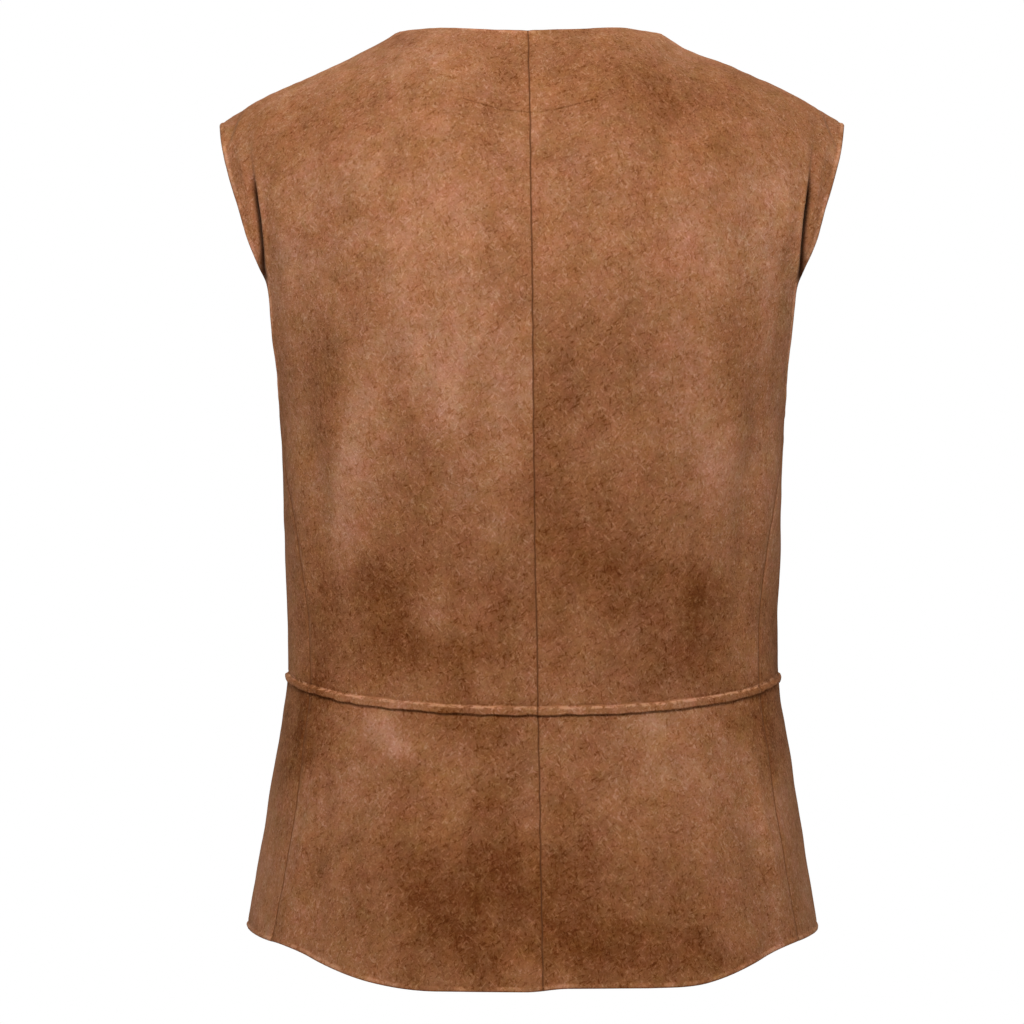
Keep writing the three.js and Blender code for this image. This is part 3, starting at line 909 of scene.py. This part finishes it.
def brushed_nap(n, mottle):
    """The nap's tone: mottling, grain and curling fibres. The last two also stand in relief."""
    grain = n.noise(620.0, 1, 0.7, 0.4, shift=17)
    pale_fibres = n.math("MAXIMUM", n.fibres(620.0, 0, 42), n.fibres(680.0, 3, -35))
    dark_fibres = n.math("MAXIMUM", n.fibres(600.0, 6, -58), n.fibres(640.0, 9, 12))
    nap = n.total((mottle, 0.47), (grain, 0.16), (pale_fibres, 0.62), (dark_fibres, -0.64))
    return nap, grain, pale_fibres


def edge_tones(n, turned, band, facing, broken):
    """Lighter and darker tones on turned edges and the neck's stitched line, and on the waist's
    band: painted light on the band, light stitching with a painted highlight along its crest, and a
    painted shadow under its foot.
    """
    rolled = n.math("MULTIPLY", n.span(turned, 4.2, 2.6), n.span(turned, 0.5, 1.3))
    rolled = n.math("MULTIPLY", rolled, n.span(n.noise(70.0, 3, 0.6, 0.5, shift=81), -0.5, 0.6))
    edge = n.span(turned, 0.9, 0.2)
    # On the band: painted light, its crest's light stitching with a painted highlight, and a
    # painted shadow on the skirt under its foot.
    band_painted_light = n.math("MULTIPLY", n.span(band, -0.2, 0.2), n.span(band, 7.2, 6.2))
    crest_stitches_and_highlight = n.math("MULTIPLY", n.span(band, 3.6, 4.8), n.span(band, 6.6, 5.8))
    crest_stitches_and_highlight = n.math("MULTIPLY", crest_stitches_and_highlight, n.span(n.noise(150.0, 3, 0.7, 0.5, shift=91), -0.2, 0.35))
    band_shadow_below = n.math("MULTIPLY", n.span(band, -1.9, -0.4), n.span(band, 1.0, 0.2))
    stitches = n.span(n.math("ABSOLUTE", n.math("MULTIPLY_ADD", broken, 0.3, facing)), 0.9, 0.35)
    uneven = n.span(n.noise(150.0, 1, 0.5, 0.3, shift=97), -0.9, 0.0)
    stitches = n.math("MULTIPLY", stitches, uneven)
    tones = [
        (rolled, 0.70), (edge, -0.6), (band_painted_light, 0.16), (crest_stitches_and_highlight, 1.30),
        (band_shadow_below, -0.4), (stitches, -0.55),
    ]
    return tones, stitches


def tinted_shade(n, tone, shades, nap, nap_and_painted_shade):
    """The shade of a tone, from deep to light, turned warmer or pinker from place to place."""
    colour = (*shades[0], 1)
    for low, high, shade in zip(TONE_STOPS, TONE_STOPS[1:], shades[1:]):
        colour = n.mix(n.span(tone, low, high, kind="LINEAR"), colour, (*shade, 1))
    pink = n.noise(48.0, 5, 0.85, 0.3, shift=103)
    warm = n.noise(52.0, 4, 0.85, 0.3, shift=107)
    # The nap's tone and the painted shade and light also tint the colour.
    tint = n.add("ShaderNodeCombineXYZ")
    red = n.total((nap, -0.09), (nap_and_painted_shade, -0.05), (pink, 0.04), (warm, 0.11), (1.0, 1.0))
    blue = n.total((nap, 0.08), (nap_and_painted_shade, 0.14), (pink, 0.23), (1.0, 1.0))
    for channel, share in (("X", red), ("Y", 1.0), ("Z", blue)):
        n.put(tint.inputs[channel], share)
    return n.mix(1.0, colour, tint.outputs["Vector"], "MULTIPLY")


def cloth_shader(n, colour, roughness, height, relief_strength, sheen):
    relief = n.add("ShaderNodeBump")
    relief.inputs["Strength"].default_value = relief_strength
    relief.inputs["Distance"].default_value = 0.0005
    n.put(relief.inputs["Height"], height)

    shader = n.add("ShaderNodeBsdfPrincipled")
    n.put(shader.inputs["Base Color"], colour)
    n.put(shader.inputs["Roughness"], n.math("MULTIPLY_ADD", *roughness))
    shader.inputs["Specular IOR Level"].default_value = 0.0
    shader.inputs["Sheen Weight"].default_value = sheen
    shader.inputs["Sheen Roughness"].default_value = 0.5
    shader.inputs["Sheen Tint"].default_value = (1.0, 0.70, 0.50, 1)
    n.put(shader.inputs["Normal"], relief.outputs["Normal"])
    output = n.add("ShaderNodeOutputMaterial")
    n.put(output.inputs["Surface"], shader.outputs["BSDF"])


def suede_material(name, deep, dark, base, light, wrong_side=False):
    """Brushed cloth; the mesh's attributes give its sewing, the painted shadow deep in its creases,
    and its nap tone with painted shade and light.
    """
    n = Nodes(name)
    seam, turned, band = n.attribute("lines")
    # Marks: the neck facing's stitched line, the nap tone with painted shade and light, and the
    # painted shadow deep in the creases.
    facing, nap_and_painted_shade, slit_shadow = n.attribute("marks")

    clouds = n.noise(9.0, 3, 0.50, 0.3)
    streaks = n.noise(15.0, 3, 0.55, 0.3, stretch=(1.6, 1.4, 0.4), shift=5)
    mottle = n.noise(60.0, 5, 0.85, 0.4, shift=13)
    nap, grain, pale_fibres = brushed_nap(n, mottle)
    tone = n.total((clouds, 0.28), (streaks, 0.28), (nap_and_painted_shade, 1.0), (nap, 1.0))
    broken = n.noise(300.0, 2, 0.6, 0.8, shift=71)
    ragged = n.math("MULTIPLY_ADD", broken, 0.40, seam)
    sewn = n.math("MULTIPLY", n.span(ragged, 1.05, 0.30), n.span(broken, -0.9, 0.1, 0.55, 1.0))
    tones, stitches = edge_tones(n, turned, band, facing, broken)
    tone = n.total(*tones, (tone, 1.0))
    if wrong_side:
        tone = n.total((clouds, 0.15), (mottle, 0.15), (grain, 0.2))

    colour = tinted_shade(n, tone, (deep, dark, base, light), nap, nap_and_painted_shade)
    colour = n.mix(n.math("MULTIPLY", sewn, 0.8), colour, (*THREAD_SHADE, 1))
    # Painted shadow deep in the armhole's creases.
    colour = n.mix(n.math("MULTIPLY", slit_shadow, 0.9), colour, (*PAINTED_SLIT_SHADOW, 1))
    height = n.total((grain, 0.5), (pale_fibres, 0.5), (sewn, -0.7), (stitches, -0.8))
    relief_strength, sheen = (0.25, 0.04) if wrong_side else (0.5, 0.09)
    cloth_shader(n, colour, (mottle, 0.05, 0.9), height, relief_strength, sheen)
    return n.material


outside = suede_material(
    "suede_right_side",
    deep=(0.086, 0.0235, 0.0062),
    dark=(0.136, 0.042, 0.0126),
    base=(0.315, 0.128, 0.056),
    light=(0.535, 0.254, 0.142),
)
inside = suede_material(
    "suede_wrong_side",
    deep=(0.110, 0.055, 0.030),
    dark=(0.150, 0.078, 0.045),
    base=(0.260, 0.142, 0.084),
    light=(0.380, 0.225, 0.140),
    wrong_side=True,
)


for face in ("back", "front"):
    for part in ("bodice", "skirt"):
        for side in ("left", "right"):
            node = f"{face}_{part}_{side}"
            piece = make_mesh(f"cloth_{node}", face, part, side)
            piece.data.materials.append(outside)
            piece.data.materials.append(inside)
            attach(piece, "root")
            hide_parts(node)

# ---- Floor, light and camera ----
FLOOR_Z, FLOOR_RADIUS = -1.45, 4.0
bpy.ops.mesh.primitive_circle_add(
    vertices=96, radius=FLOOR_RADIUS, fill_type="NGON", location=(0, 0, FLOOR_Z)
)
floor = bpy.context.object
floor.name = "floor"
pale = bpy.data.materials.new("pale_floor")
pale.use_nodes = True
pale_shader = pale.node_tree.nodes["Principled BSDF"]
pale_shader.inputs["Base Color"].default_value = (0.9, 0.9, 0.9, 1)
pale_shader.inputs["Roughness"].default_value = 0.9
pale_shader.inputs["Emission Color"].default_value = (1, 1, 1, 1)
pale_shader.inputs["Emission Strength"].default_value = 0.2
floor.data.materials.append(pale)

SKY_LIGHT = 0.15
world = bpy.data.worlds.new("studio")
bpy.context.scene.world = world
world.use_nodes = True
nodes, links = world.node_tree.nodes, world.node_tree.links
seen = nodes.new("ShaderNodeMapRange")
seen.inputs["To Min"].default_value = SKY_LIGHT
seen.inputs["To Max"].default_value = 1.0
links.new(nodes.new("ShaderNodeLightPath").outputs["Is Camera Ray"], seen.inputs["Value"])
links.new(seen.outputs["Result"], nodes["Background"].inputs["Strength"])
nodes["Background"].inputs["Color"].default_value = (1, 1, 1, 1)


def soft_light(name, place, aim, size, watts):
    lamp = bpy.data.lights.new(name, "AREA")
    lamp.shape = "DISK"
    lamp.size = size
    lamp.energy = watts
    obj = bpy.data.objects.new(name, lamp)
    bpy.context.scene.collection.objects.link(obj)
    obj.location = place
    obj.rotation_euler = (Vector(aim) - Vector(place)).to_track_quat("-Z", "Y").to_euler()


soft_light("key_behind", (0.10, 1.5, 1.0), (0, 0.1, -0.2), 0.9, 35)
soft_light("key_front", (-0.10, -1.5, 1.0), (0, -0.1, -0.2), 0.9, 35)
soft_light("side_left", (2.0, 0.1, 0.9), (0, 0, -0.3), 1.0, 6)
soft_light("side_right", (-2.0, 0.1, 0.9), (0, 0, -0.3), 1.0, 6)

# The photo's view: level, from behind, with its middle a little to the left of the vest's.
SENSOR_MM = 36
PHOTO_PIXELS, FOCAL_PIXELS = 1024, 3536
CAMERA_PLACE = (0.0147, 2.6, -0.353)
camera_data = bpy.data.cameras.new("camera")
camera_data.sensor_width = SENSOR_MM
camera_data.lens = SENSOR_MM * FOCAL_PIXELS / PHOTO_PIXELS
camera_data.clip_end = 200
camera = bpy.data.objects.new("camera", camera_data)
bpy.context.scene.collection.objects.link(camera)
camera.location = CAMERA_PLACE
camera.rotation_euler = (math.radians(90), 0, math.radians(180))
bpy.context.scene.camera = camera
bpy.context.scene.view_settings.view_transform = "Standard"
bpy.context.scene.view_settings.look = "None"
